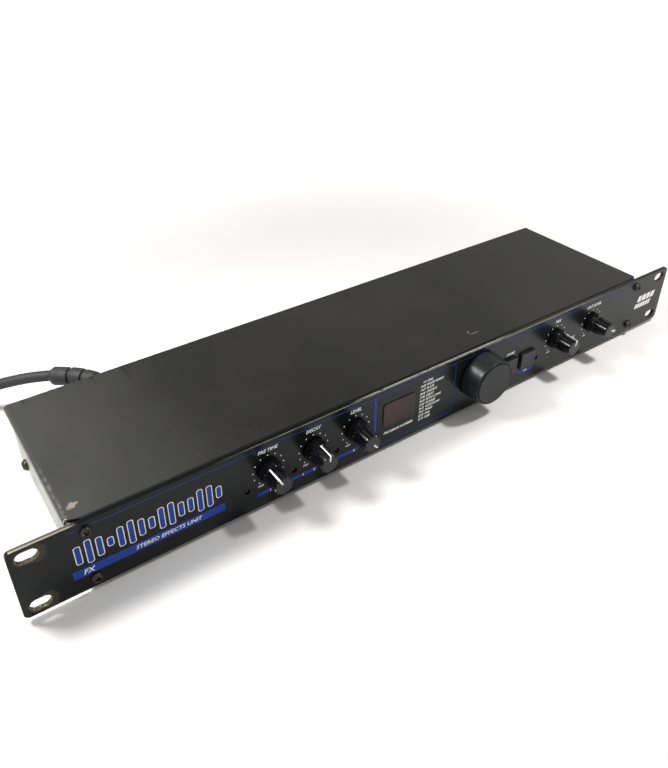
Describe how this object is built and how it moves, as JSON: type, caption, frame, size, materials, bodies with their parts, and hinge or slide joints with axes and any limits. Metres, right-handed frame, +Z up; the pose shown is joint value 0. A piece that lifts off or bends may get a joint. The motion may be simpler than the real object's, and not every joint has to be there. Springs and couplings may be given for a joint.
{
  "type": "rack effects unit",
  "caption": "Low rack-mount audio effects processor: flat panel with slotted ears, fluted knobs, large selector knob, push buttons, dark display window, sheet-metal case, power cord.",
  "frame": {"origin": "on the back face of the front panel's left ear, midway between its two rack slots, where a rack's left rail bears", "axes": "+X to the right as seen from the front, +Y back into the unit (the direction in which it slides into a rack), +Z up"},
  "size_m": [0.5683, 0.2154, 0.047],
  "materials": {
    "black_paint": "satin black powder coat, worn to bare metal at edges and slots",
    "zinc_steel": "bright zinc-plated sheet steel",
    "black_plastic": "matt black moulded plastic",
    "black_rubber": "black soft vinyl or rubber",
    "black_steel": "blackened steel screws",
    "red_window": "dark red tinted acrylic",
    "red_lens": "unlit red lens",
    "shaft_metal": "bright turned metal",
    "nickel": "nickel-plated bush and nut",
    "board": "green solder-masked board",
    "gray_plastic": "grey moulded plastic",
    "laminations": "varnished steel laminations and finned alloy",
    "chip": "black epoxy package"
  },
  "bodies": {
    "case": {"front_panel": "black_paint", "rear_panel": "black_paint", "top_cover": "black_paint", "chassis_tray": "zinc_steel", "time_potentiometer": "gray_plastic", "decay_potentiometer": "gray_plastic", "level_potentiometer": "gray_plastic", "mix_potentiometer": "gray_plastic", "output_potentiometer": "gray_plastic", "selector_encoder": "gray_plastic", "store_switch": "gray_plastic", "bypass_switch": "gray_plastic", "indicator_1": "red_lens", "indicator_2": "red_lens", "indicator_3": "red_lens", "indicator_4": "red_lens", "display_window": "red_window", "digit_display": "chip", "front_board": "board", "main_board": "board", "ribbon_cable": "gray_plastic", "processor_chip": "chip", "voltage_regulator": "laminations", "filter_capacitor": "gray_plastic", "power_transformer": "laminations", "power_cord": "black_rubber", "cord_boot": "black_rubber", "mains_plug": "black_rubber", "input_jack_left": "nickel", "input_jack_right": "nickel", "output_jack_left": "nickel", "output_jack_right": "nickel", "footswitch_jack": "nickel", "control_socket": "black_plastic", "panel_screw_left_lower": "black_steel", "panel_screw_left_upper": "black_steel", "side_screw_left": "black_steel", "cover_screw_left": "black_steel", "foot_front_left": "black_rubber", "foot_rear_left": "black_rubber", "panel_screw_right_lower": "black_steel", "panel_screw_right_upper": "black_steel", "side_screw_right": "black_steel", "cover_screw_right": "black_steel", "foot_front_right": "black_rubber", "foot_rear_right": "black_rubber"},
    "time_control": {"time_knob": "black_plastic", "time_shaft": "shaft_metal"},
    "decay_control": {"decay_knob": "black_plastic", "decay_shaft": "shaft_metal"},
    "level_control": {"level_knob": "black_plastic", "level_shaft": "shaft_metal"},
    "mix_control": {"mix_knob": "black_plastic", "mix_shaft": "shaft_metal"},
    "output_control": {"output_knob": "black_plastic", "output_shaft": "shaft_metal"},
    "selector_control": {"selector_knob": "black_plastic", "selector_shaft": "shaft_metal"},
    "store_key": {"store_button": "black_plastic"},
    "bypass_key": {"bypass_button": "black_plastic"}
  },
  "joints": [
    {"name": "time_turn", "type": "hinge", "parent": "case", "child": "time_control", "pos_m": [0.12515, -0.0025, 0.003], "axis": [0, 1, 0], "range_deg": [-113, 167]},
    {"name": "decay_turn", "type": "hinge", "parent": "case", "child": "decay_control", "pos_m": [0.15425, -0.0025, 0.003], "axis": [0, 1, 0], "range_deg": [-145, 135]},
    {"name": "level_turn", "type": "hinge", "parent": "case", "child": "level_control", "pos_m": [0.18335, -0.0025, 0.003], "axis": [0, 1, 0], "range_deg": [-280, 0]},
    {"name": "mix_turn", "type": "hinge", "parent": "case", "child": "mix_control", "pos_m": [0.35335, -0.0025, 0.003], "axis": [0, 1, 0], "range_deg": [-162, 118]},
    {"name": "output_turn", "type": "hinge", "parent": "case", "child": "output_control", "pos_m": [0.39075, -0.0025, 0.003], "axis": [0, 1, 0], "range_deg": [-240, 40]},
    {"name": "selector_turn", "type": "hinge", "parent": "case", "child": "selector_control", "pos_m": [0.28135, -0.0025, 0.0026], "axis": [0, 1, 0], "continuous": true},
    {"name": "store_press", "type": "slide", "parent": "case", "child": "store_key", "axis": [0, 1, 0], "range_m": [0, 0.0008], "stiffness_N_per_m": 900, "springref_m": -0.001},
    {"name": "bypass_press", "type": "slide", "parent": "case", "child": "bypass_key", "axis": [0, 1, 0], "range_m": [0, 0.0008], "stiffness_N_per_m": 900, "springref_m": -0.001}
  ]
}
